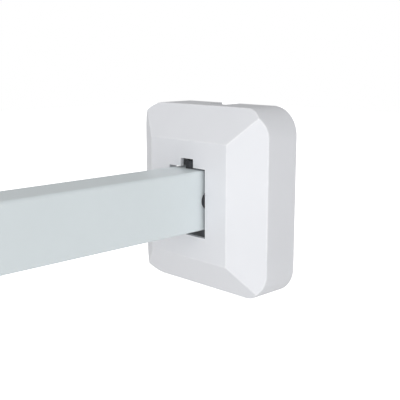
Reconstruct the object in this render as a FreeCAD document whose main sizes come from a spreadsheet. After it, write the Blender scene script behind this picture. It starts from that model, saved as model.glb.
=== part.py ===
"""Inside-mount curtain rod: a rectangular tube held between two walls, with the same
bracket at each end and a loose bevelled cover that slides along the tube.

Frame, in millimetres: +X runs along the rod from the left wall to the right wall, +Z is up
and +Y points to the window, the side that carries the side screws. The origin is on the left
wall, on the rod's centre line. The left bracket is modelled, and the right one mirrors it.
"""
import os

import FreeCAD
import Part
import Sketcher

doc = FreeCAD.newDocument("curtain_rod")

# Driving dimensions: (name, value in mm, meaning)
SIZES = [
    ("span", 600.0, "distance between the two walls"),
    ("rod_wide", 22.0, "rod section, along Y"),
    ("rod_high", 30.0, "rod section, along Z"),
    ("rod_wall", 1.5, "rod wall thickness"),
    ("rod_corner", 1.4, "outer corner radius of the rod"),
    ("rod_end_gap", 4.0, "from a wall plate to the rod's end"),
    ("plate_thick", 3.0, "wall plate thickness"),
    ("plate_side_gap", 8.3, "from the wall plate's long edges to the cover's inside"),
    ("plate_end_gap", 6.3, "from the wall plate's short edges to the cover's inside, cover centred"),
    ("plate_corner", 9.0, "wall plate corner radius"),
    ("wall_hole_side", 10.5, "wall screw holes, from the plate's long edges"),
    ("wall_hole_end", 18.5, "wall screw holes, from the plate's short edges"),
    ("wall_hole_bore", 5.2, "wall screw hole diameter"),
    ("wall_hole_sink", 9.6, "countersink diameter"),
    ("socket_gap", 0.3, "clearance between the rod's inside and the socket"),
    ("socket_wall", 2.0, "socket wall thickness"),
    ("socket_corner", 1.0, "outer corner radius of the socket"),
    ("socket_reach", 44.0, "how far the socket stands off the wall plate"),
    ("screw_place", 27.5, "both screws, from the wall"),
    ("screw_thread", 4.0, "screw thread diameter"),
    ("screw_tip", 1.0, "how far a screw comes through its nut"),
    ("screw_hole_gap", 0.3, "clearance hole's diameter over the thread's"),
    ("screw_edge", 0.3, "softened edge of a screw head"),
    ("side_head_wide", 9.0, "side screw's low head"),
    ("side_head_tall", 1.2, "side screw's low head"),
    ("side_key", 2.5, "side screw's hexagon socket, across flats"),
    ("side_key_floor", 0.5, "metal left under the side screw's hexagon socket"),
    ("cap_head_wide", 7.0, "top screw's cap head"),
    ("cap_head_tall", 4.0, "top screw's cap head"),
    ("cap_key", 3.0, "top screw's hexagon socket, across flats"),
    ("cap_key_floor", 1.8, "metal left under the top screw's hexagon socket"),
    ("nut_flats", 7.0, "weld nut, across flats"),
    ("nut_thick", 3.2, "weld nut"),
    ("thread_gap", 0.05, "radial running clearance of a screw in its nut"),
    ("cover_wide", 88.0, "cover, along Y"),
    ("cover_high", 94.0, "cover, along Z"),
    ("cover_deep", 31.5, "cover, from the wall to its flat front"),
    ("cover_side", 20.5, "straight part of the cover's side walls"),
    ("cover_bevel", 17.0, "width of each sloping face, seen from the front"),
    ("cover_corner", 14.0, "corner radius of the cover"),
    ("cover_wall", 2.2, "cover wall thickness"),
    ("cover_soft", 0.7, "softened outer edges of the cover"),
    ("slot_clear", 0.7, "space left between the side screw's head and the slot"),
    ("slot_over", 2.35, "space over and under the rod in the slot, rod centred"),
    ("slot_low", 0.65, "from the cover's centre down to the slot's centre"),
    ("hang_gap", 0.9, "space over the rod in the slot, where the clips hold the cover"),
    ("key_clear", 1.0, "space on each side of the cap head in the notch over the slot"),
    ("key_over", 1.2, "space over the cap head in the notch over the slot"),
    ("lift_wide", 12.0, "finger notch in the cover's rear top edge"),
    ("lift_deep", 10.0, "finger notch in the cover's rear top edge"),
    ("clip_thick", 0.8, "spring clip strip"),
    ("clip_high", 14.0, "spring clip strip, along Z"),
    ("clip_bow", 6.0, "outer radius of the clip's bow"),
    ("clip_foot", 14.0, "flat foot of the clip, along Y"),
    ("clip_gap", 0.2, "space between the bow and the cover's side wall"),
    ("rivet_thick", 3.0, "rivet shank diameter"),
    ("rivet_head", 5.4, "rivet head diameter"),
    ("rivet_head_tall", 1.2, "rivet head height"),
    ("cut_over", 1.0, "how far a cut through one wall runs past it"),
]

# The clip's bow, in degrees: how far it turns, and where it starts on the front and back side
BOW_TURN = 150.0
BOW_START = {-1: 180.0, 1: 30.0}

# Places worked out from the driving dimensions
ROD_START = "(size.plate_thick + size.rod_end_gap)"
ROD_SIDE = "(size.rod_wide / 2)"
ROD_TOP = "(size.rod_high / 2)"
SOCKET_SIDE = "(size.rod_wide / 2 - size.rod_wall - size.socket_gap)"
SOCKET_TOP = "(size.rod_high / 2 - size.rod_wall - size.socket_gap)"
SCREW_HOLE = "(size.screw_thread + size.screw_hole_gap)"
SCREW_REACH = ("(size.rod_wall + size.socket_gap + size.socket_wall + size.nut_thick"
               " + size.screw_tip)")
RIGHT_SCREW = "(size.span - size.screw_place)"
PLATE_WIDE = "(size.cover_wide - 2 * size.cover_wall - 2 * size.plate_side_gap)"
PLATE_HIGH = "(size.cover_high - 2 * size.cover_wall - 2 * size.plate_end_gap)"
SLOT_WIDE = "(size.rod_wide + 2 * (size.side_head_tall + size.slot_clear))"
SLOT_HIGH = "(size.rod_high + 2 * size.slot_over)"
SLOT_DROP = "(size.slot_over - size.hang_gap)"
COVER_DROP = "(%s - size.slot_low)" % SLOT_DROP
KEY_WIDE = "(size.cap_head_wide + 2 * size.key_clear)"
KEY_HIGH = "(size.cap_head_tall + size.key_over - size.hang_gap)"
BEVEL_RISE = "(size.cover_deep - size.cover_side)"
BEVEL_SLANT = "sqrt(size.cover_bevel ^ 2 + %s ^ 2)" % BEVEL_RISE
CLIP_TOUCH = "(size.cover_wide / 2 - size.cover_wall - size.clip_gap)"
CLIP_CENTRE = "(%s - size.clip_bow)" % CLIP_TOUCH
RIVET_PLACE = "(%s - size.clip_foot / 2)" % CLIP_CENTRE


def make_sheet():
    """Keep every driving dimension in one spreadsheet, each with its alias."""
    sheet = doc.addObject("Spreadsheet::Sheet", "size")
    for row, (alias, value, meaning) in enumerate(SIZES, start=1):
        sheet.set("A%d" % row, meaning)
        sheet.set("B%d" % row, str(value))
        sheet.setAlias("B%d" % row, alias)
    doc.recompute()


# ---------------------------------------------------------------- sketch and feature helpers

def new_body(name):
    """A PartDesign body whose Label is the node's name."""
    body = doc.addObject("PartDesign::Body", name)
    body.Label = name
    return body


def new_sketch(body, name, role, offset="0"):
    """A sketch on one of the body's own origin planes, moved along the plane's normal."""
    sketch = body.newObject("Sketcher::SketchObject", name)
    plane = [each for each in body.Origin.OriginFeatures if each.Role == role][0]
    sketch.AttachmentSupport = (plane, [""])
    sketch.MapMode = "FlatFace"
    sketch.setExpression("AttachmentOffset.Base.z", offset)
    return sketch


def pin_point(sketch, geometry, position, place):
    """Fix a point of the sketch at a pair of expressions, measured from the origin."""
    for kind, axis, letter, expression in (("DistanceX", -2, "x", place[0]),
                                           ("DistanceY", -1, "y", place[1])):
        if expression == "0":
            sketch.addConstraint(Sketcher.Constraint("PointOnObject", geometry, position, axis))
            continue
        index = sketch.addConstraint(Sketcher.Constraint(kind, -1, 1, geometry, position, 1.0))
        name = "%s_%d_%d" % (letter, geometry, position)
        sketch.renameConstraint(index, name)
        sketch.setExpression("Constraints." + name, expression)


def add_polygon(sketch, points):
    """A closed outline through points given as pairs of expressions."""
    first = sketch.GeometryCount
    count = len(points)
    turn = 360.0 / count
    start = [FreeCAD.Rotation(FreeCAD.Vector(0, 0, 1), turn * step).multVec(FreeCAD.Vector(9, 5, 0))
             for step in range(count)]
    for step in range(count):
        sketch.addGeometry(Part.LineSegment(start[step], start[(step + 1) % count]), False)
    for step in range(count):
        after = first + (step + 1) % count
        sketch.addConstraint(Sketcher.Constraint("Coincident", first + step, 2, after, 1))
    for step, place in enumerate(points):
        pin_point(sketch, first + step, 1, place)


def add_rectangle(sketch, low, high):
    """An upright rectangle between two corners given as pairs of expressions."""
    add_polygon(sketch, [(low[0], low[1]), (high[0], low[1]), (high[0], high[1]), (low[0], high[1])])


def add_hexagon(sketch, centre, flats):
    """A hexagon of a given size across its flats."""
    points = []
    for step in range(6):
        angle = 30 + 60 * step
        points.append(("%s + %s / sqrt(3) * cos(%d)" % (centre, flats, angle),
                       "%s / sqrt(3) * sin(%d)" % (flats, angle)))
    add_polygon(sketch, points)


def add_circle(sketch, centre, wide):
    """A circle of a given diameter at a pair of expressions."""
    circle = Part.Circle(FreeCAD.Vector(5, 5, 0), FreeCAD.Vector(0, 0, 1), 2)
    geometry = sketch.addGeometry(circle, False)
    pin_point(sketch, geometry, 3, centre)
    index = sketch.addConstraint(Sketcher.Constraint("Diameter", geometry, 4.0))
    name = "wide_%d" % geometry
    sketch.renameConstraint(index, name)
    sketch.setExpression("Constraints." + name, wide)


def centred(wide, high, drop="0"):
    """The two corners of a rectangle centred on the rod's line, lowered by drop."""
    low = ("-(%s) / 2" % wide, "-(%s) / 2 - %s" % (high, drop))
    high_corner = ("(%s) / 2" % wide, "(%s) / 2 - %s" % (high, drop))
    return low, high_corner


def pad(body, sketch, length, backward=False):
    """Raise the sketch into a solid."""
    feature = body.newObject("PartDesign::Pad", sketch.Name + "_pad")
    feature.Profile = sketch
    feature.setExpression("Length", length)
    feature.Reversed = backward
    sketch.Visibility = False
    doc.recompute()
    return feature


def cut(body, sketch, length=None, backward=False, both_ways=False):
    """Cut the sketch into the body, by a length or right through, and make sure that it cuts."""
    before = body.Shape.Volume
    feature = body.newObject("PartDesign::Pocket", sketch.Name + "_cut")
    feature.Profile = sketch
    feature.Reversed = backward
    feature.Midplane = both_ways
    if length is None:
        feature.Type = "ThroughAll"
    else:
        feature.setExpression("Length", length)
    sketch.Visibility = False
    doc.recompute()
    if body.Shape.Volume > before - 1e-3:
        raise RuntimeError("%s removes nothing" % feature.Name)
    return feature


def dress(body, kind, name, property_name, size, chosen):
    """Add a Fillet or a Chamfer to the edges of the body's tip that chosen accepts."""
    base = body.Tip
    names = ["Edge%d" % number for number, edge in enumerate(base.Shape.Edges, start=1) if chosen(edge)]
    if not names:
        raise RuntimeError("%s finds no edge" % name)
    feature = body.newObject("PartDesign::" + kind, name)
    feature.Base = (base, names)
    feature.setExpression(property_name, size)
    doc.recompute()
    return feature


def runs_along(edge, axis):
    """True for a straight edge along one of the axes 0, 1 or 2."""
    box = edge.BoundBox
    spans = (box.XLength, box.YLength, box.ZLength)
    return all(span < 1e-3 for number, span in enumerate(spans) if number != axis)


def lies_at(edge, axis, place):
    """True for an edge that lies whole in the plane where the axis has the value place."""
    box = edge.BoundBox
    low = (box.XMin, box.YMin, box.ZMin)[axis]
    high = (box.XMax, box.YMax, box.ZMax)[axis]
    return abs(low - place) < 1e-3 and abs(high - place) < 1e-3


def sheet_value(alias):
    """The present value of a driving dimension."""
    return float(doc.getObject("size").get(alias))


# ---------------------------------------------------------------- the sub-parts

def make_rod():
    """Rectangular tube with a hole for each of its four screws."""
    body = new_body("rod")
    section = new_sketch(body, "rod_section", "YZ_Plane", ROD_START)
    add_rectangle(section, *centred("size.rod_wide", "size.rod_high"))
    pad(body, section, "size.span - 2 * " + ROD_START)
    dress(body, "Fillet", "rod_corners", "Radius", "size.rod_corner", lambda edge: runs_along(edge, 0))

    bore = new_sketch(body, "rod_bore", "YZ_Plane", ROD_START)
    inner = centred("size.rod_wide - 2 * size.rod_wall", "size.rod_high - 2 * size.rod_wall")
    add_rectangle(bore, *inner)
    cut(body, bore, backward=True)

    side = new_sketch(body, "rod_side_holes", "XZ_Plane", "-" + ROD_SIDE)
    top = new_sketch(body, "rod_top_holes", "XY_Plane", ROD_TOP)
    for sketch in (side, top):
        add_circle(sketch, ("size.screw_place", "0"), SCREW_HOLE)
        add_circle(sketch, (RIGHT_SCREW, "0"), SCREW_HOLE)
    cut(body, side, "size.rod_wall + size.cut_over", backward=True)
    cut(body, top, "size.rod_wall + size.cut_over")
    return body


def make_wall_plate():
    """Flat steel plate with four countersunk holes and a hole for each clip's rivet."""
    body = new_body("left_wall_plate")
    outline = new_sketch(body, "plate_outline", "YZ_Plane")
    add_rectangle(outline, *centred(PLATE_WIDE, PLATE_HIGH))
    pad(body, outline, "size.plate_thick")
    dress(body, "Fillet", "plate_corners", "Radius", "size.plate_corner", lambda edge: runs_along(edge, 0))

    holes = new_sketch(body, "plate_wall_holes", "YZ_Plane", "size.plate_thick")
    for side in ("", "-"):
        for level in ("", "-"):
            place = ("%s(%s / 2 - size.wall_hole_side)" % (side, PLATE_WIDE),
                     "%s(%s / 2 - size.wall_hole_end)" % (level, PLATE_HIGH))
            add_circle(holes, place, "size.wall_hole_bore")
    cut(body, holes)
    front = sheet_value("plate_thick")
    dress(body, "Chamfer", "plate_sinks", "Size", "(size.wall_hole_sink - size.wall_hole_bore) / 2",
          lambda edge: edge.Closed and lies_at(edge, 0, front))

    rivets = new_sketch(body, "plate_rivet_holes", "YZ_Plane", "size.plate_thick")
    for side in ("", "-"):
        add_circle(rivets, (side + RIVET_PLACE, "0"), "size.rivet_thick")
    cut(body, rivets)
    return body


def make_socket():
    """Box section that stands off the wall plate and fills the rod's end."""
    body = new_body("left_socket")
    section = new_sketch(body, "socket_section", "YZ_Plane", "size.plate_thick")
    add_rectangle(section, *centred("2 * " + SOCKET_SIDE, "2 * " + SOCKET_TOP))
    pad(body, section, "size.socket_reach")
    dress(body, "Fillet", "socket_corners", "Radius", "size.socket_corner", lambda edge: runs_along(edge, 0))

    bore = new_sketch(body, "socket_bore", "YZ_Plane", "size.plate_thick")
    inner = centred("2 * (%s - size.socket_wall)" % SOCKET_SIDE, "2 * (%s - size.socket_wall)" % SOCKET_TOP)
    add_rectangle(bore, *inner)
    cut(body, bore, backward=True)

    side = new_sketch(body, "socket_side_hole", "XZ_Plane", "-" + SOCKET_SIDE)
    add_circle(side, ("size.screw_place", "0"), SCREW_HOLE)
    cut(body, side, "size.socket_wall + size.cut_over", backward=True)
    top = new_sketch(body, "socket_top_hole", "XY_Plane", SOCKET_TOP)
    add_circle(top, ("size.screw_place", "0"), SCREW_HOLE)
    cut(body, top, "size.socket_wall + size.cut_over")
    return body


def make_nut(name, role, offset, backward):
    """Hexagon nut welded to the inside of the socket."""
    body = new_body(name)
    outline = new_sketch(body, name + "_outline", role, offset)
    add_hexagon(outline, "size.screw_place", "size.nut_flats")
    add_circle(outline, ("size.screw_place", "0"), "size.screw_thread + 2 * size.thread_gap")
    pad(body, outline, "size.nut_thick", backward)
    return body


def make_screw(name, role, offset, outward, head):
    """Screw with a round head, seated on the rod, and a hexagon socket in the head.

    head holds the head's diameter, height, size across the flats of its hexagon socket and the
    metal under the socket. outward says whether the head points along the sketch's normal.
    """
    wide, tall, key, key_floor = head
    body = new_body(name)
    seat = new_sketch(body, name + "_seat", role, offset)
    add_circle(seat, ("size.screw_place", "0"), wide)
    pad(body, seat, tall, not outward)
    middle = body.Shape.CenterOfMass
    dress(body, "Fillet", name + "_edge", "Radius", "size.screw_edge",
          lambda edge: edge.Closed and edge.CenterOfMass.Length > middle.Length)

    shank = new_sketch(body, name + "_shank", role, offset)
    add_circle(shank, ("size.screw_place", "0"), "size.screw_thread")
    pad(body, shank, SCREW_REACH, outward)

    rise = "%s + %s" % (offset, tall) if outward else "%s - %s" % (offset, tall)
    socket = new_sketch(body, name + "_socket", role, rise)
    add_hexagon(socket, "size.screw_place", key)
    cut(body, socket, "%s - %s" % (tall, key_floor), not outward)
    return body


def make_cover_block(name, inset, side, bevel):
    """Upright block with round corners and four sloping faces round a flat front.

    inset shrinks the outline and the front, so the same steps make the cover's outside and
    its hollow.
    """
    body = new_body(name)
    outline = new_sketch(body, name + "_outline", "YZ_Plane")
    wide = "(size.cover_wide - 2 * %s)" % inset
    high = "(size.cover_high - 2 * %s)" % inset
    deep = "(size.cover_deep - %s)" % inset
    add_rectangle(outline, *centred(wide, high, COVER_DROP))
    pad(body, outline, deep)
    dress(body, "Fillet", name + "_corners", "Radius", "size.cover_corner - " + inset,
          lambda edge: runs_along(edge, 0))

    for label, role, size, drop in (("sides", "XY_Plane", wide, "0"), ("ends", "XZ_Plane", high, COVER_DROP)):
        wedges = new_sketch(body, "%s_%s" % (name, label), role)
        for sign in ("", "-"):
            edge = "%s%s / 2 - %s" % (sign, size, drop)
            inward = "-" if sign == "" else "+"
            add_polygon(wedges, [(side, edge), (deep, edge), (deep, "%s %s %s" % (edge, inward, bevel))])
        cut(body, wedges, both_ways=True)
    return body


def make_cover():
    """Thin bevelled shell, open to the wall, with a slot that the rod passes through."""
    outside = make_cover_block("cover_outside", "0", "size.cover_side", "size.cover_bevel")
    start = sheet_value("cover_side")
    dress(outside, "Fillet", "cover_soft_edges", "Radius", "size.cover_soft",
          lambda edge: edge.BoundBox.XMax > start + 1e-3)

    slot = new_sketch(outside, "cover_slot", "YZ_Plane", "size.cover_deep")
    low, high = centred(SLOT_WIDE, SLOT_HIGH, SLOT_DROP)
    add_rectangle(slot, low, high)
    cut(outside, slot)
    key = new_sketch(outside, "cover_key", "YZ_Plane", "size.cover_deep")
    key_top = "%s + %s" % (high[1], KEY_HIGH)
    add_rectangle(key, ("-%s / 2" % KEY_WIDE, ROD_TOP + " / 2"), (KEY_WIDE + " / 2", key_top))
    cut(outside, key)
    lift = new_sketch(outside, "cover_lift", "XY_Plane", "size.cover_high / 2 - " + COVER_DROP)
    add_rectangle(lift, ("0", "-size.lift_wide / 2"), ("size.lift_deep", "size.lift_wide / 2"))
    cut(outside, lift, "size.cover_wall + size.cut_over")

    side = "(size.cover_side - size.cover_wall * (%s - %s) / size.cover_bevel)" % (BEVEL_SLANT, BEVEL_RISE)
    bevel = ("((size.cover_wall * %s + size.cover_bevel * (%s - size.cover_wall)) / %s - size.cover_wall)"
             % (BEVEL_SLANT, BEVEL_RISE, BEVEL_RISE))
    inside = make_cover_block("cover_inside", "size.cover_wall", side, bevel)

    cover = doc.addObject("Part::Cut", "left_cover")
    cover.Label = "left_cover"
    cover.Base = outside
    cover.Tool = inside
    doc.recompute()
    return cover


def make_clip(name, side):
    """Spring strip: a flat foot on the wall plate and a bow that presses the cover's side."""
    outer = doc.addObject("Part::Cylinder", name + "_outer")
    inner = doc.addObject("Part::Cylinder", name + "_inner")
    for round_piece, radius in ((outer, "size.clip_bow"), (inner, "size.clip_bow - size.clip_thick")):
        round_piece.setExpression("Radius", radius)
        round_piece.setExpression("Height", "size.clip_high")
        round_piece.Angle = BOW_TURN
        round_piece.Placement.Rotation = FreeCAD.Rotation(FreeCAD.Vector(0, 0, 1), BOW_START[side])
        round_piece.setExpression("Placement.Base.x", "size.plate_thick + size.clip_bow")
        round_piece.setExpression("Placement.Base.y", "%d * %s" % (side, CLIP_CENTRE))
        round_piece.setExpression("Placement.Base.z", "-size.clip_high / 2")
    bow = doc.addObject("Part::Cut", name + "_bow")
    bow.Base = outer
    bow.Tool = inner

    foot = doc.addObject("Part::Box", name + "_foot")
    foot.setExpression("Length", "size.clip_thick")
    foot.setExpression("Width", "size.clip_foot")
    foot.setExpression("Height", "size.clip_high")
    foot.setExpression("Placement.Base.x", "size.plate_thick")
    low_side = CLIP_CENTRE + " - size.clip_foot" if side > 0 else "-" + CLIP_CENTRE
    foot.setExpression("Placement.Base.y", low_side)
    foot.setExpression("Placement.Base.z", "-size.clip_high / 2")
    strip = doc.addObject("Part::Fuse", name + "_strip")
    strip.Base = bow
    strip.Tool = foot

    hole = make_round_bar(name + "_hole", "size.rivet_thick / 2", "2 * size.clip_thick",
                          "size.plate_thick - size.clip_thick / 2", "%d * %s" % (side, RIVET_PLACE))
    clip = doc.addObject("Part::Cut", name)
    clip.Label = name
    clip.Base = strip
    clip.Tool = hole
    doc.recompute()
    return clip


def make_round_bar(name, radius, length, start, side_place):
    """Cylinder along +X from start, at a place along Y."""
    bar = doc.addObject("Part::Cylinder", name)
    bar.setExpression("Radius", radius)
    bar.setExpression("Height", length)
    bar.Placement.Rotation = FreeCAD.Rotation(FreeCAD.Vector(0, 1, 0), 90)
    bar.setExpression("Placement.Base.x", start)
    bar.setExpression("Placement.Base.y", side_place)
    return bar


def make_clip_rivets():
    """One rivet for each clip's foot, flush with the wall behind the plate."""
    rivets = []
    for number, side in enumerate((-1, 1), start=1):
        place = "%d * %s" % (side, RIVET_PLACE)
        foot_top = "size.plate_thick + size.clip_thick"
        shank = make_round_bar("rivet_shank_%d" % number, "size.rivet_thick / 2", foot_top, "0", place)
        head = doc.addObject("Part::Cone", "rivet_head_%d" % number)
        head.setExpression("Radius1", "size.rivet_head / 2")
        head.setExpression("Radius2", "size.rivet_head / 2 - size.rivet_head_tall / 2")
        head.setExpression("Height", "size.rivet_head_tall")
        head.Placement.Rotation = FreeCAD.Rotation(FreeCAD.Vector(0, 1, 0), 90)
        head.setExpression("Placement.Base.x", foot_top)
        head.setExpression("Placement.Base.y", place)
        rivet = doc.addObject("Part::Fuse", "rivet_%d" % number)
        rivet.Base = shank
        rivet.Tool = head
        rivets.append(rivet)
    pair = doc.addObject("Part::Compound", "left_clip_rivets")
    pair.Label = "left_clip_rivets"
    pair.Links = rivets
    doc.recompute()
    return pair


def mirror_to_right(source):
    """The right bracket's copy of a left sub-part, mirrored about the middle of the span."""
    name = source.Label.replace("left_", "right_")
    copy = doc.addObject("Part::Mirroring", name)
    copy.Label = name
    copy.Source = source
    copy.Normal = FreeCAD.Vector(1, 0, 0)
    copy.setExpression("Base.x", "size.span / 2")
    doc.recompute()
    return copy


def make_left_bracket():
    """Every sub-part of the left end."""
    side_head = ("size.side_head_wide", "size.side_head_tall", "size.side_key", "size.side_key_floor")
    cap_head = ("size.cap_head_wide", "size.cap_head_tall", "size.cap_key", "size.cap_key_floor")
    return [
        make_wall_plate(),
        make_socket(),
        make_nut("left_side_nut", "XZ_Plane", "-(%s - size.socket_wall)" % SOCKET_SIDE, False),
        make_nut("left_top_nut", "XY_Plane", "%s - size.socket_wall" % SOCKET_TOP, True),
        make_screw("left_side_screw", "XZ_Plane", "-" + ROD_SIDE, False, side_head),
        make_screw("left_top_screw", "XY_Plane", ROD_TOP, True, cap_head),
        make_clip("left_front_clip", -1),
        make_clip("left_back_clip", 1),
        make_clip_rivets(),
        make_cover(),
    ]


def check_model():
    """Stop if any object of the document is in error or has no valid shape."""
    for each in doc.Objects:
        if "Invalid" in each.State or "Error" in each.State:
            raise RuntimeError("%s is in state %s" % (each.Name, each.State))
        if hasattr(each, "Shape") and each.TypeId.startswith(("Part::", "PartDesign::Body")):
            if each.Shape.isNull() or not each.Shape.isValid():
                raise RuntimeError("%s has no valid shape" % each.Name)


def write_parts(nodes):
    """Write one STEP file for each node."""
    os.makedirs("parts", exist_ok=True)
    for node in nodes:
        node.Shape.exportStep("parts/%s.step" % node.Label)


make_sheet()
left = make_left_bracket()
right = [mirror_to_right(each) for each in left]
all_nodes = [make_rod()] + left + right
doc.recompute()
check_model()
write_parts(all_nodes)
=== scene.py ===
"""Finishes for a curtain rod with a bevelled cover and a hidden wall bracket at each end.

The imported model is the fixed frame: +X runs along the rod from the left wall, +Y points to the
window and +Z is up, all in metres. The script is laid out as an add-on: property groups hold the
colours and sizes, each operator finishes or makes one group of pieces, and the panel lists them.
"""
import math

import bpy
from mathutils import Matrix, Vector


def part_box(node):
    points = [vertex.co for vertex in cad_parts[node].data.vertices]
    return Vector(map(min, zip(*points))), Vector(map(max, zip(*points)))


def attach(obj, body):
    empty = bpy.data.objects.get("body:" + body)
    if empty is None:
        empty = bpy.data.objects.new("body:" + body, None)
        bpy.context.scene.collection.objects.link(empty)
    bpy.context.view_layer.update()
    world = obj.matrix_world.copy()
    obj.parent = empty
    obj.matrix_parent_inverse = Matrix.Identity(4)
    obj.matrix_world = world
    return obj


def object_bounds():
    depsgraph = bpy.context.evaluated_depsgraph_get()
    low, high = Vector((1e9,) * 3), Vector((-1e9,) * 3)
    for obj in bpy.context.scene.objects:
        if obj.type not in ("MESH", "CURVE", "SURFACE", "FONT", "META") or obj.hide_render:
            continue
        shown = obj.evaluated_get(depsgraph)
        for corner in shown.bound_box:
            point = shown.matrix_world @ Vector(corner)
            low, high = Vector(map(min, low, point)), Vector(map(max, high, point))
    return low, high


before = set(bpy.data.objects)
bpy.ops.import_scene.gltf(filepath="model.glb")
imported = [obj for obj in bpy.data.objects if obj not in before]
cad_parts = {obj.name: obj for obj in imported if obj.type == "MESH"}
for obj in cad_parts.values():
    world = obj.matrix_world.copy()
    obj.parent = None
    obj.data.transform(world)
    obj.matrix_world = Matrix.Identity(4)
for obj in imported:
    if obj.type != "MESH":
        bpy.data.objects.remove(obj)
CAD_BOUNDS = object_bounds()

bl_info = {
    "name": "Curtain Rod Finishes",
    "version": (1, 0, 0),
    "blender": (4, 5, 0),
    "location": "3D View > Sidebar > Curtain Rod",
    "description": "Materials, welds and stage for a curtain rod with a bracket at each end",
    "category": "Object",
}

ENDS = ("left", "right")
# Where each soft light stands, as an azimuth and an elevation in degrees
FRONT_LIGHT = (11.0, 0.0)
SIDE_LIGHT = (84.0, 0.0)
HIGH_LIGHT = (45.0, 40.0)
# Width in millimetres of the sensor that the camera's focal length belongs to
SENSOR_WIDTH = 36.0
# Nearest distance in metres that the camera sees
NEAR_CLIP = 0.01
# How much a slow cloud darkens and lightens a coated or moulded colour
CLOUD_TONES = (0.985, 1.015)
# A Mix node's colour sockets, which share their names with its other sockets
MIX_FIRST, MIX_SECOND, MIX_RESULT = 6, 7, 2


# ------------------------------------------------------------------ settings

def colour_setting(name, description, default):
    """A linear colour that a user can change."""
    return bpy.props.FloatVectorProperty(
        name=name, description=description, default=default,
        subtype="COLOR", size=3, min=0.0, max=1.0)


def length_setting(name, description, default):
    """A length in metres that a user can change."""
    return bpy.props.FloatProperty(
        name=name, description=description, default=default, unit="LENGTH", precision=5)


def share_setting(name, description, default):
    """A share from 0 to 1 that a user can change."""
    return bpy.props.FloatProperty(
        name=name, description=description, default=default, subtype="FACTOR", min=0.0, max=1.0)


class CoverFinish(bpy.types.PropertyGroup):
    """Satin moulded plastic of the two covers."""

    colour: colour_setting("Colour", "Plastic colour", (0.745, 0.755, 0.785))
    # Painted highlight: the edge colour is lighter plastic along the cover's edges. It stands in for
    # light caught by the rounded edges; it is not rubbing.
    edge_colour: colour_setting(
        "Edge colour", "Colour where an edge has been rubbed", (0.90, 0.905, 0.92))
    roughness: share_setting("Roughness", "Roughness of the moulded face", 0.30)
    grain_size: length_setting("Grain size", "Width of one grain of the mould's texture", 0.0005)
    # Edge width sets how far the painted edge highlight reaches from an edge.
    edge_width: length_setting("Edge width", "How far rubbing reaches from an edge", 0.0014)


class RodFinish(bpy.types.PropertyGroup):
    """Powder coat of the rod."""

    colour: colour_setting("Colour", "Powder coat colour", (0.705, 0.765, 0.785))
    edge_colour: colour_setting(
        "Edge colour", "Colour where the coat is thin on an edge", (0.78, 0.82, 0.83))
    roughness: share_setting("Roughness", "Roughness of the coat", 0.36)
    peel_size: length_setting("Peel size", "Width of one ripple of the coat", 0.0013)
    edge_width: length_setting("Edge width", "How far the thin coat reaches from an edge", 0.0008)


class MetalFinish(bpy.types.PropertyGroup):
    """Bare and plated metal parts under the covers."""

    zinc: colour_setting("Zinc", "Zinc plated steel", (0.60, 0.62, 0.64))
    zinc_tint: colour_setting(
        "Zinc tint", "Tint that the plating's clear layer leaves", (0.66, 0.63, 0.54))
    black: colour_setting("Black oxide", "Blackened screw steel", (0.022, 0.023, 0.027))
    worn_black: colour_setting(
        "Worn black", "Screw steel where the black has rubbed off", (0.20, 0.20, 0.21))
    spring: colour_setting("Spring steel", "Tempered strip", (0.34, 0.35, 0.37))
    rivet: colour_setting("Rivet", "Aluminium rivets", (0.78, 0.79, 0.80))
    weld: colour_setting("Weld", "Weld metal", (0.46, 0.45, 0.45))
    heat_tint: colour_setting(
        "Heat tint", "Colour that welding leaves in the plating", (0.34, 0.26, 0.20))


class WeldSizes(bpy.types.PropertyGroup):
    """Weld bead round the foot of each socket."""

    leg: length_setting("Leg", "Half width of the bead", 0.0011)
    pitch: length_setting("Pitch", "Distance from one ripple to the next", 0.0012)
    flatness: share_setting("Flatness", "Thickness of a ripple along the bead over its width", 0.72)
    tilt: bpy.props.FloatProperty(
        name="Tilt", description="Lean of each ripple", default=math.radians(18), subtype="ANGLE")


class StageSettings(bpy.types.PropertyGroup):
    """Camera, floor and lights."""

    azimuth: bpy.props.FloatProperty(
        name="Azimuth", description="Camera's direction from the left bracket, from +X towards +Y",
        default=math.radians(45.73), subtype="ANGLE")
    elevation: bpy.props.FloatProperty(
        name="Elevation", description="Camera's height as an angle", default=math.radians(11.12),
        subtype="ANGLE")
    distance: length_setting("Distance", "From the camera to what it looks at", 0.3791)
    aim_shift: bpy.props.FloatVectorProperty(
        name="Aim shift", description="What the camera looks at, from the left cover's centre",
        default=(0.0081, 0.0016, -0.0009), subtype="TRANSLATION", size=3)
    lens: bpy.props.FloatProperty(
        name="Lens", description="Focal length on the camera's sensor", default=67.06, unit="CAMERA")
    floor_drop: length_setting("Floor drop", "From the rod down to the floor", 0.55)
    floor_size: length_setting("Floor size", "Side of the square floor", 14.0)
    floor_colour: colour_setting("Floor colour", "Pale floor", (0.92, 0.92, 0.92))
    surround: bpy.props.FloatProperty(
        name="Surround", description="Light that the surround gives on the whole", default=0.42)
    surround_lean: bpy.props.FloatVectorProperty(
        name="Surround lean", description="How much more the surround gives from +X, +Y and +Z",
        default=(0.26, -0.10, 0.24), subtype="XYZ", size=3)
    front_power: bpy.props.FloatProperty(
        name="Front light", description="Power of the soft light that faces the cover", default=4.1,
        unit="POWER")
    side_power: bpy.props.FloatProperty(
        name="Side light", description="Power of the soft light that faces the rod's side", default=3.5,
        unit="POWER")
    high_power: bpy.props.FloatProperty(
        name="High light", description="Power of the soft light over the camera", default=1.6,
        unit="POWER")
    light_size: length_setting("Light size", "Side of each square soft light", 0.7)
    light_distance: length_setting("Light distance", "From a soft light to the left bracket", 1.2)


SETTINGS = {
    "rod_cover_finish": CoverFinish,
    "rod_bar_finish": RodFinish,
    "rod_metal_finish": MetalFinish,
    "rod_weld_sizes": WeldSizes,
    "rod_stage": StageSettings,
}


# ------------------------------------------------------------------ shader node groups

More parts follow.
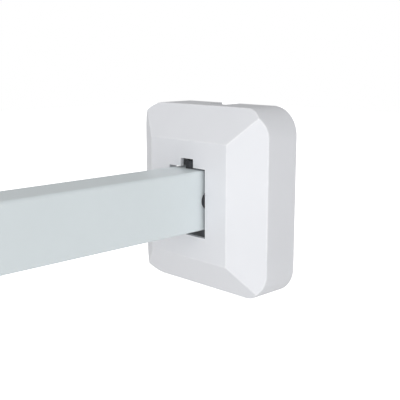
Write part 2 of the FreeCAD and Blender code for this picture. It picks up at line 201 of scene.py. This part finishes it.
def new_group(name, inputs, outputs):
    """An empty shader node group with named sockets, and its two ends."""
    group = bpy.data.node_groups.new(name, "ShaderNodeTree")
    for label, kind, default in inputs:
        socket = group.interface.new_socket(label, in_out="INPUT", socket_type=kind)
        socket.default_value = default
    for label, kind in outputs:
        group.interface.new_socket(label, in_out="OUTPUT", socket_type=kind)
    return group, group.nodes.new("NodeGroupInput"), group.nodes.new("NodeGroupOutput")


def add_math(tree, operation, first, second):
    """A Math node whose two inputs are sockets or numbers."""
    node = tree.nodes.new("ShaderNodeMath")
    node.operation = operation
    for socket, value in zip(node.inputs, (first, second)):
        if isinstance(value, (int, float)):
            socket.default_value = value
        else:
            tree.links.new(value, socket)
    return node.outputs[0]


def add_range(tree, value, from_low, from_high, to_low=0.0, to_high=1.0):
    """A clamped Map Range node."""
    node = tree.nodes.new("ShaderNodeMapRange")
    tree.links.new(value, node.inputs["Value"])
    node.inputs["From Min"].default_value = from_low
    node.inputs["From Max"].default_value = from_high
    node.inputs["To Min"].default_value = to_low
    node.inputs["To Max"].default_value = to_high
    return node.outputs["Result"]


def add_noise(tree, vector, scale, detail=3.0, rough=0.5):
    """A Noise Texture node whose scale is a socket or a number."""
    node = tree.nodes.new("ShaderNodeTexNoise")
    node.inputs["Detail"].default_value = detail
    node.inputs["Roughness"].default_value = rough
    tree.links.new(vector, node.inputs["Vector"])
    if isinstance(scale, (int, float)):
        node.inputs["Scale"].default_value = scale
    else:
        tree.links.new(scale, node.inputs["Scale"])
    return node.outputs["Fac"]


def object_place(tree):
    """Object coordinates, which are the row frame's metres."""
    return tree.nodes.new("ShaderNodeTexCoord").outputs["Object"]


def make_fine_grain():
    """Small grains for a moulded or coated face: a height and a slow shade."""
    finer_grains = 2.7
    coarse_share = 0.7
    group, given, result = new_group(
        "fine_grain",
        [("Grain Size", "NodeSocketFloat", 0.0005), ("Cloud Size", "NodeSocketFloat", 0.03)],
        [("Height", "NodeSocketFloat"), ("Cloud", "NodeSocketFloat")])
    place = object_place(group)
    grain_scale = add_math(group, "DIVIDE", 1.0, given.outputs["Grain Size"])
    cloud_scale = add_math(group, "DIVIDE", 1.0, given.outputs["Cloud Size"])
    coarse = add_noise(group, place, grain_scale, detail=1.0)
    finer_scale = add_math(group, "MULTIPLY", grain_scale, finer_grains)
    finer = add_noise(group, place, finer_scale, detail=2.0)
    coarse_part = add_math(group, "MULTIPLY", coarse, coarse_share)
    finer_part = add_math(group, "MULTIPLY", finer, 1.0 - coarse_share)
    height = add_math(group, "ADD", coarse_part, finer_part)
    cloud = add_range(group, add_noise(group, place, cloud_scale, detail=4.0, rough=0.6), 0.3, 0.7)
    group.links.new(height, result.inputs["Height"])
    group.links.new(cloud, result.inputs["Cloud"])
    return group


def make_edge_mask():
    """1 on sharp or tightly rounded edges, broken up by noise, and 0 on open faces."""
    open_face = 0.995
    full_edge = 0.94
    group, given, result = new_group(
        "edge_mask",
        [("Width", "NodeSocketFloat", 0.0006), ("Break Size", "NodeSocketFloat", 0.004)],
        [("Mask", "NodeSocketFloat")])
    rounded = group.nodes.new("ShaderNodeBevel")
    rounded.samples = 4
    group.links.new(given.outputs["Width"], rounded.inputs["Radius"])
    surface = group.nodes.new("ShaderNodeNewGeometry")
    product = group.nodes.new("ShaderNodeVectorMath")
    product.operation = "DOT_PRODUCT"
    group.links.new(rounded.outputs["Normal"], product.inputs[0])
    group.links.new(surface.outputs["True Normal"], product.inputs[1])
    bend = add_range(group, product.outputs["Value"], open_face, full_edge)
    break_scale = add_math(group, "DIVIDE", 1.0, given.outputs["Break Size"])
    patchy = add_noise(group, object_place(group), break_scale, detail=5.0, rough=0.65)
    patches = add_range(group, patchy, 0.35, 0.6)
    group.links.new(add_math(group, "MULTIPLY", bend, patches), result.inputs["Mask"])
    return group


def make_handling():
    """Faint smudges from handling, for roughness."""
    group, given, result = new_group(
        "handling_marks",
        [("Smudge Size", "NodeSocketFloat", 0.02)],
        [("Smudge", "NodeSocketFloat")])
    smudge_scale = add_math(group, "DIVIDE", 1.0, given.outputs["Smudge Size"])
    smear = add_noise(group, object_place(group), smudge_scale, detail=6.0, rough=0.7)
    group.links.new(add_range(group, smear, 0.45, 0.75), result.inputs["Smudge"])
    return group


def make_drawn_lines():
    """Lines left by rolling or drawing the metal, along one direction."""
    band_ratio = 0.12
    group, given, result = new_group(
        "drawn_lines",
        [("Line Width", "NodeSocketFloat", 0.0003), ("Stretch", "NodeSocketVector", (0.03, 1.0, 1.0))],
        [("Lines", "NodeSocketFloat"), ("Bands", "NodeSocketFloat")])
    stretched = group.nodes.new("ShaderNodeVectorMath")
    stretched.operation = "MULTIPLY"
    group.links.new(object_place(group), stretched.inputs[0])
    group.links.new(given.outputs["Stretch"], stretched.inputs[1])
    line_scale = add_math(group, "DIVIDE", 1.0, given.outputs["Line Width"])
    lines = add_noise(group, stretched.outputs["Vector"], line_scale, detail=2.0)
    band_scale = add_math(group, "MULTIPLY", line_scale, band_ratio)
    bands = add_noise(group, stretched.outputs["Vector"], band_scale, detail=2.0)
    group.links.new(lines, result.inputs["Lines"])
    group.links.new(add_range(group, bands, 0.3, 0.7), result.inputs["Bands"])
    return group


GROUP_MAKERS = {
    "fine_grain": make_fine_grain,
    "edge_mask": make_edge_mask,
    "handling_marks": make_handling,
    "drawn_lines": make_drawn_lines,
}


# ------------------------------------------------------------------ material helpers

class Paint:
    """A new material and the few ways in which this script builds one up."""

    def __init__(self, name):
        self.material = bpy.data.materials.new(name)
        self.material.use_nodes = True
        self.tree = self.material.node_tree
        self.shader = self.tree.nodes["Principled BSDF"]

    def place(self, group_name, **values):
        """Put a shared group in the material with its own values."""
        group = bpy.data.node_groups.get(group_name) or GROUP_MAKERS[group_name]()
        node = self.tree.nodes.new("ShaderNodeGroup")
        node.node_tree = group
        for label, value in values.items():
            node.inputs[label.replace("_", " ")].default_value = value
        return node.outputs

    def constant(self, **values):
        """Set values that are the same all over the surface."""
        for label, value in values.items():
            self.shader.inputs[label.replace("_", " ")].default_value = value

    def mix(self, mask, first, second):
        """A colour between two colours or sockets."""
        node = self.tree.nodes.new("ShaderNodeMix")
        node.data_type = "RGBA"
        self.tree.links.new(mask, node.inputs["Factor"])
        for socket, value in ((node.inputs[MIX_FIRST], first), (node.inputs[MIX_SECOND], second)):
            if isinstance(value, bpy.types.NodeSocket):
                self.tree.links.new(value, socket)
            else:
                socket.default_value = (*value, 1.0)
        return node.outputs[MIX_RESULT]

    def weaker(self, mask, most):
        """A mask from 0 to 1 made weaker, so that it reaches most."""
        return add_range(self.tree, mask, 0.0, 1.0, 0.0, most)

    def vary(self, label, mask, start, end):
        """Move one of the shader's values from start, where the mask is 0, to end, where it is 1."""
        self.feed(label, add_range(self.tree, mask, 0.0, 1.0, start, end))

    def clouded(self, mask, colour):
        """A colour that a slow cloud makes a little darker and lighter."""
        low, high = CLOUD_TONES
        return self.mix(mask, tone(colour, low), tone(colour, high))

    def feed(self, label, value):
        """Link a changing value to one of the shader's sockets."""
        self.tree.links.new(value, self.shader.inputs[label])

    def bump(self, height, distance, strength=1.0, under=None):
        """A Bump node that feeds Normal, laid over another one if it is given."""
        node = self.tree.nodes.new("ShaderNodeBump")
        node.inputs["Strength"].default_value = strength
        node.inputs["Distance"].default_value = distance
        self.tree.links.new(height, node.inputs["Height"])
        if under is not None:
            self.tree.links.new(under, node.inputs["Normal"])
        self.feed("Normal", node.outputs["Normal"])
        return node.outputs["Normal"]


def tone(colour, factor):
    """A colour made lighter or darker."""
    return tuple(min(1.0, part * factor) for part in colour)


# ------------------------------------------------------------------ materials

def cover_plastic(settings):
    """Satin white plastic with a fine mould texture, faint clouding and a painted highlight along the
    edges.
    """
    paint = Paint("cover_plastic")
    grain = paint.place("fine_grain", Grain_Size=settings.grain_size, Cloud_Size=0.035)
    edge = paint.place("edge_mask", Width=settings.edge_width, Break_Size=0.006)
    marks = paint.place("handling_marks", Smudge_Size=0.022)
    base = paint.clouded(grain["Cloud"], settings.colour)
    # Painted highlight: lighter plastic along the edges, broken up by the edge mask's noise, stands in
    # for light caught by the rounded edges.
    rubbed = paint.mix(paint.weaker(edge["Mask"], 0.9), base, tuple(settings.edge_colour))
    paint.feed("Base Color", rubbed)
    paint.vary("Roughness", marks["Smudge"], settings.roughness + 0.05, settings.roughness - 0.06)
    paint.constant(IOR=1.49, Specular_IOR_Level=0.45)
    paint.bump(grain["Height"], distance=0.00004, strength=0.55)
    return paint.material


def rod_paint(settings):
    """Satin powder coat with orange peel, thin on the edges and lightly rubbed along the rod."""
    paint = Paint("rod_paint")
    grain = paint.place("fine_grain", Grain_Size=settings.peel_size, Cloud_Size=0.06)
    fleck = paint.place("fine_grain", Grain_Size=0.00022, Cloud_Size=0.004)
    edge = paint.place("edge_mask", Width=settings.edge_width, Break_Size=0.012)
    ring_marks = paint.place("drawn_lines", Line_Width=0.0006, Stretch=(0.02, 1.0, 1.0))
    base = paint.clouded(grain["Cloud"], settings.colour)
    flecked = paint.mix(paint.weaker(fleck["Cloud"], 0.12), base, tone(settings.colour, 0.93))
    worn = paint.mix(paint.weaker(edge["Mask"], 0.3), flecked, tuple(settings.edge_colour))
    paint.feed("Base Color", worn)
    paint.vary("Roughness", ring_marks["Lines"], settings.roughness - 0.05, settings.roughness + 0.08)
    paint.constant(IOR=1.5, Coat_Weight=0.12, Coat_Roughness=0.18)
    peel = paint.bump(grain["Height"], distance=0.00007, strength=0.5)
    paint.bump(fleck["Height"], distance=0.00002, strength=0.35, under=peel)
    return paint.material


def zinc_steel(settings):
    """Zinc plated sheet with rolling lines, soft bands and a slightly yellow clear layer."""
    paint = Paint("zinc_steel")
    lines = paint.place("drawn_lines", Line_Width=0.0004, Stretch=(1.0, 1.0, 0.03))
    cloud = paint.place("fine_grain", Grain_Size=0.0009, Cloud_Size=0.011)
    edge = paint.place("edge_mask", Width=0.0004, Break_Size=0.003)
    tinted = paint.weaker(cloud["Cloud"], 0.55)
    base = paint.mix(tinted, tuple(settings.zinc), tuple(settings.zinc_tint))
    streaked = paint.mix(paint.weaker(lines["Bands"], 0.35), base, tone(settings.zinc, 0.82))
    worn = paint.mix(paint.weaker(edge["Mask"], 0.7), streaked, tone(settings.zinc, 1.25))
    paint.feed("Base Color", worn)
    paint.vary("Roughness", lines["Lines"], 0.30, 0.52)
    paint.constant(Metallic=1.0)
    sheet = paint.bump(lines["Lines"], distance=0.00002, strength=0.4)
    paint.bump(cloud["Height"], distance=0.00003, strength=0.3, under=sheet)
    return paint.material


def nut_steel(settings):
    """Plated nuts with fine tool lines and bright edges."""
    paint = Paint("nut_steel")
    lines = paint.place("drawn_lines", Line_Width=0.0002, Stretch=(1.0, 0.08, 1.0))
    edge = paint.place("edge_mask", Width=0.0003, Break_Size=0.002)
    base = paint.mix(lines["Bands"], tone(settings.zinc, 0.85), tuple(settings.zinc))
    paint.feed("Base Color", paint.mix(edge["Mask"], base, tone(settings.zinc, 1.3)))
    paint.vary("Roughness", lines["Lines"], 0.28, 0.5)
    paint.constant(Metallic=1.0)
    paint.bump(lines["Lines"], distance=0.00002, strength=0.35)
    return paint.material


def black_steel(settings):
    """Black oxide screws, worn to steel on the edges of the head and its socket."""
    paint = Paint("black_steel")
    grain = paint.place("fine_grain", Grain_Size=0.0003, Cloud_Size=0.0025)
    edge = paint.place("edge_mask", Width=0.00025, Break_Size=0.0012)
    base = paint.mix(grain["Cloud"], tuple(settings.black), tone(settings.black, 1.7))
    worn = paint.mix(paint.weaker(edge["Mask"], 0.6), base, tuple(settings.worn_black))
    paint.feed("Base Color", worn)
    paint.vary("Roughness", grain["Cloud"], 0.34, 0.5)
    paint.vary("Metallic", edge["Mask"], 0.35, 0.9)
    paint.bump(grain["Height"], distance=0.00002, strength=0.4)
    return paint.material


def spring_steel(settings):
    """Tempered strip with lines along the bend and a blue-grey temper colour in patches."""
    paint = Paint("spring_steel")
    lines = paint.place("drawn_lines", Line_Width=0.0003, Stretch=(1.0, 1.0, 18.0))
    cloud = paint.place("fine_grain", Grain_Size=0.0006, Cloud_Size=0.007)
    edge = paint.place("edge_mask", Width=0.0003, Break_Size=0.002)
    temper_shift = (0.90, 0.97, 1.06)
    temper = tuple(part * share for part, share in zip(settings.spring, temper_shift))
    base = paint.mix(cloud["Cloud"], tuple(settings.spring), temper)
    paint.feed("Base Color", paint.mix(edge["Mask"], base, tone(settings.spring, 1.7)))
    paint.vary("Roughness", lines["Lines"], 0.25, 0.45)
    paint.constant(Metallic=1.0)
    paint.bump(lines["Lines"], distance=0.00002, strength=0.4)
    return paint.material


def rivet_metal(settings):
    """Bright rivets with small dents from the setting tool."""
    paint = Paint("rivet_metal")
    dents = paint.place("fine_grain", Grain_Size=0.0008, Cloud_Size=0.0016)
    edge = paint.place("edge_mask", Width=0.0003, Break_Size=0.0015)
    base = paint.mix(dents["Cloud"], tone(settings.rivet, 0.86), tuple(settings.rivet))
    paint.feed("Base Color", paint.mix(edge["Mask"], base, tone(settings.rivet, 1.15)))
    paint.vary("Roughness", dents["Cloud"], 0.32, 0.48)
    paint.constant(Metallic=1.0)
    paint.bump(dents["Height"], distance=0.00005, strength=0.5)
    return paint.material


def weld_metal(settings):
    """Weld bead with a brown heat tint and a slightly scaly skin."""
    paint = Paint("weld_metal")
    scale = paint.place("fine_grain", Grain_Size=0.0002, Cloud_Size=0.0018)
    tinted = paint.weaker(scale["Cloud"], 0.7)
    paint.feed("Base Color", paint.mix(tinted, tuple(settings.weld), tuple(settings.heat_tint)))
    paint.vary("Roughness", scale["Cloud"], 0.32, 0.55)
    paint.constant(Metallic=1.0)
    paint.bump(scale["Height"], distance=0.00003, strength=0.5)
    return paint.material


# ------------------------------------------------------------------ pieces

def dress_node(name, material):
    """Give a CAD node its material."""
    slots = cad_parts[name].data.materials
    slots.clear()
    slots.append(material)


def dress_both_ends(pieces, material):
    """Give the same material to one or more pieces at both ends of the rod."""
    for end in ENDS:
        for piece in pieces:
            dress_node("%s_%s" % (end, piece), material)


def deselect_all():
    """Leave nothing selected, so an operator acts only on what it is given."""
    for thing in bpy.context.selected_objects:
        thing.select_set(False)


def weld_ripple(sizes):
    """One flattened drop of weld metal at the origin."""
    deselect_all()
    bpy.ops.mesh.primitive_uv_sphere_add(segments=12, ring_count=8, radius=sizes.leg)
    drop = bpy.context.active_object
    bpy.ops.object.mode_set(mode="EDIT")
    bpy.ops.mesh.select_all(action="SELECT")
    bpy.ops.transform.resize(value=(1.0, 1.0, sizes.flatness))
    bpy.ops.object.mode_set(mode="OBJECT")
    bpy.ops.object.shade_smooth()
    return drop


def socket_path(low, high, pitch):
    """Places round the socket's foot, with the direction of travel at each."""
    corners = [(low.y, low.z), (high.y, low.z), (high.y, high.z), (low.y, high.z)]
    places = []
    for start, end in zip(corners, corners[1:] + corners[:1]):
        run = Vector((0.0, end[0] - start[0], end[1] - start[1]))
        steps = round(run.length / pitch)
        for step in range(steps):
            spot = Vector((0.0, start[0], start[1])) + run * (step / steps)
            places.append((spot, run.normalized()))
    return places


def make_weld(end, sizes, material):
    """A rippled bead in the corner between a socket and its wall plate."""
    low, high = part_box(end + "_socket")
    plate_low, plate_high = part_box(end + "_wall_plate")
    inward = 1.0 if end == "left" else -1.0
    foot = plate_high.x if end == "left" else plate_low.x
    drop = weld_ripple(sizes)
    copies = []
    for spot, run in socket_path(low, high, sizes.pitch):
        lean = Matrix.Rotation(sizes.tilt, 4, Vector((1.0, 0.0, 0.0)).cross(run))
        turn = Vector((0.0, 0.0, 1.0)).rotation_difference(run).to_matrix().to_4x4()
        ripple = drop.copy()
        ripple.data = drop.data.copy()
        ripple.data.transform(Matrix.Translation(Vector((foot, spot.y, spot.z))) @ lean @ turn)
        bpy.context.scene.collection.objects.link(ripple)
        copies.append(ripple)
    bpy.data.objects.remove(drop)
    deselect_all()
    for ripple in copies:
        ripple.select_set(True)
    bpy.context.view_layer.objects.active = copies[0]
    bpy.ops.object.join()
    weld = bpy.context.active_object
    weld.name = end + "_socket_weld"
    trim_behind(weld, foot, inward)
    weld.data.materials.clear()
    weld.data.materials.append(material)
    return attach(weld, "frame")


def trim_behind(piece, wall, inward):
    """Cut off and close what lies behind a plane across X."""
    deselect_all()
    piece.select_set(True)
    bpy.context.view_layer.objects.active = piece
    bpy.ops.object.mode_set(mode="EDIT")
    bpy.ops.mesh.select_all(action="SELECT")
    bpy.ops.mesh.bisect(
        plane_co=(wall, 0.0, 0.0), plane_no=(inward, 0.0, 0.0), use_fill=True, clear_inner=True)
    bpy.ops.object.mode_set(mode="OBJECT")


# ------------------------------------------------------------------ stage

def make_floor(settings):
    """A plain pale floor well under the rod."""
    deselect_all()
    middle = (CAD_BOUNDS[0][0] + CAD_BOUNDS[1][0]) / 2
    bpy.ops.mesh.primitive_plane_add(
        size=settings.floor_size, location=(middle, 0.0, -settings.floor_drop))
    floor = bpy.context.active_object
    floor.name = "floor"
    paint = Paint("pale_floor")
    cloud = paint.place("fine_grain", Grain_Size=0.01, Cloud_Size=0.6)
    darker = tone(settings.floor_colour, CLOUD_TONES[0])
    tint = paint.mix(cloud["Cloud"], tuple(settings.floor_colour), darker)
    paint.feed("Base Color", tint)
    paint.constant(Roughness=0.8)
    ray = paint.tree.nodes.new("ShaderNodeLightPath")
    paint.feed("Emission Strength", ray.outputs["Is Camera Ray"])
    paint.constant(Emission_Color=(1.0, 1.0, 1.0, 1.0))
    floor.data.materials.append(paint.material)


def make_surround(settings):
    """A white surround whose light leans towards one side."""
    world = bpy.data.worlds.new("white_surround")
    world.use_nodes = True
    tree = world.node_tree
    background = tree.nodes["Background"]
    background.inputs["Color"].default_value = (1.0, 1.0, 1.0, 1.0)
    lean = tree.nodes.new("ShaderNodeVectorMath")
    lean.operation = "DOT_PRODUCT"
    tree.links.new(tree.nodes.new("ShaderNodeTexCoord").outputs["Generated"], lean.inputs[0])
    lean.inputs[1].default_value = settings.surround_lean
    given = add_math(tree, "ADD", lean.outputs["Value"], settings.surround)
    ray = tree.nodes.new("ShaderNodeLightPath")
    seen = add_math(tree, "MAXIMUM", given, ray.outputs["Is Camera Ray"])
    tree.links.new(seen, background.inputs["Strength"])
    bpy.context.scene.world = world


def aim(thing, target):
    """Turn an object so that its -Z axis points at the target."""
    thing.rotation_euler = (target - thing.location).to_track_quat("-Z", "Y").to_euler()


def direction(azimuth, elevation):
    """The unit vector at an azimuth from +X towards +Y and an elevation, both in radians."""
    flat = math.cos(elevation)
    return Vector((flat * math.cos(azimuth), flat * math.sin(azimuth), math.sin(elevation)))


def add_soft_light(name, target, angles, settings, power):
    """A square area light turned to the target, which it sees from the two angles."""
    azimuth, elevation = (math.radians(angle) for angle in angles)
    place = target + direction(azimuth, elevation) * settings.light_distance
    bpy.ops.object.light_add(type="AREA", location=place)
    lamp = bpy.context.active_object
    lamp.name = name
    lamp.data.shape = "SQUARE"
    lamp.data.size = settings.light_size
    lamp.data.energy = power
    aim(lamp, target)


def add_camera(settings, target):
    """The camera, placed by its direction and distance from the target."""
    towards = direction(settings.azimuth, settings.elevation)
    bpy.ops.object.camera_add(location=target + towards * settings.distance)
    camera = bpy.context.active_object
    camera.name = "camera"
    camera.data.sensor_width = SENSOR_WIDTH
    camera.data.lens = settings.lens
    camera.data.clip_start = NEAR_CLIP
    aim(camera, target)
    bpy.context.scene.camera = camera


# ------------------------------------------------------------------ operators

class FinishRod(bpy.types.Operator):
    """Powder coat the rod"""

    bl_idname = "curtain_rod.finish_rod"
    bl_label = "Finish Rod"

    def execute(self, context):
        dress_node("rod", rod_paint(context.scene.rod_bar_finish))
        return {"FINISHED"}


class FinishCovers(bpy.types.Operator):
    """Give both covers their moulded plastic"""

    bl_idname = "curtain_rod.finish_covers"
    bl_label = "Finish Covers"

    def execute(self, context):
        dress_both_ends(["cover"], cover_plastic(context.scene.rod_cover_finish))
        return {"FINISHED"}


class FinishPlates(bpy.types.Operator):
    """Zinc plate the wall plates and sockets"""

    bl_idname = "curtain_rod.finish_plates"
    bl_label = "Finish Plates and Sockets"

    def execute(self, context):
        dress_both_ends(["wall_plate", "socket"], zinc_steel(context.scene.rod_metal_finish))
        return {"FINISHED"}


class FinishScrews(bpy.types.Operator):
    """Blacken the screws and plate their nuts"""

    bl_idname = "curtain_rod.finish_screws"
    bl_label = "Finish Screws and Nuts"

    def execute(self, context):
        settings = context.scene.rod_metal_finish
        dress_both_ends(["side_screw", "top_screw"], black_steel(settings))
        dress_both_ends(["side_nut", "top_nut"], nut_steel(settings))
        return {"FINISHED"}


class FinishClips(bpy.types.Operator):
    """Finish the spring clips and their rivets"""

    bl_idname = "curtain_rod.finish_clips"
    bl_label = "Finish Clips and Rivets"

    def execute(self, context):
        settings = context.scene.rod_metal_finish
        dress_both_ends(["front_clip", "back_clip"], spring_steel(settings))
        dress_both_ends(["clip_rivets"], rivet_metal(settings))
        return {"FINISHED"}


class WeldSockets(bpy.types.Operator):
    """Weld each socket to its wall plate with a rippled bead"""

    bl_idname = "curtain_rod.weld_sockets"
    bl_label = "Weld Sockets"

    def execute(self, context):
        material = weld_metal(context.scene.rod_metal_finish)
        for end in ENDS:
            make_weld(end, context.scene.rod_weld_sizes, material)
        return {"FINISHED"}


class BuildStage(bpy.types.Operator):
    """Set up the floor, the surround, the lights and the camera"""

    bl_idname = "curtain_rod.build_stage"
    bl_label = "Build Stage"

    def execute(self, context):
        settings = context.scene.rod_stage
        low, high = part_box("left_cover")
        target = (low + high) / 2 + Vector(settings.aim_shift)
        make_floor(settings)
        make_surround(settings)
        add_soft_light("front_light", target, FRONT_LIGHT, settings, settings.front_power)
        add_soft_light("side_light", target, SIDE_LIGHT, settings, settings.side_power)
        add_soft_light("high_light", target, HIGH_LIGHT, settings, settings.high_power)
        add_camera(settings, target)
        context.scene.view_settings.view_transform = "Standard"
        return {"FINISHED"}


OPERATORS = (FinishRod, FinishCovers, FinishPlates, FinishScrews, FinishClips, WeldSockets, BuildStage)


class CurtainRodPanel(bpy.types.Panel):
    """Lists the operators in the sidebar"""

    bl_idname = "VIEW3D_PT_curtain_rod"
    bl_label = "Curtain Rod"
    bl_space_type = "VIEW_3D"
    bl_region_type = "UI"
    bl_category = "Curtain Rod"

    def draw(self, context):
        for operator in OPERATORS:
            self.layout.operator(operator.bl_idname)


def register():
    """Register the classes and hang the settings on the scene."""
    for group in SETTINGS.values():
        bpy.utils.register_class(group)
    for name, group in SETTINGS.items():
        setattr(bpy.types.Scene, name, bpy.props.PointerProperty(type=group))
    for kind in (*OPERATORS, CurtainRodPanel):
        bpy.utils.register_class(kind)


def unregister():
    """Undo register."""
    for kind in (CurtainRodPanel, *reversed(OPERATORS)):
        bpy.utils.unregister_class(kind)
    for name, group in SETTINGS.items():
        delattr(bpy.types.Scene, name)
        bpy.utils.unregister_class(group)


def main():
    """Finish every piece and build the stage."""
    register()
    bpy.ops.curtain_rod.finish_rod()
    bpy.ops.curtain_rod.finish_covers()
    bpy.ops.curtain_rod.finish_plates()
    bpy.ops.curtain_rod.finish_screws()
    bpy.ops.curtain_rod.finish_clips()
    bpy.ops.curtain_rod.weld_sockets()
    bpy.ops.curtain_rod.build_stage()


if __name__ == "__main__":
    main()
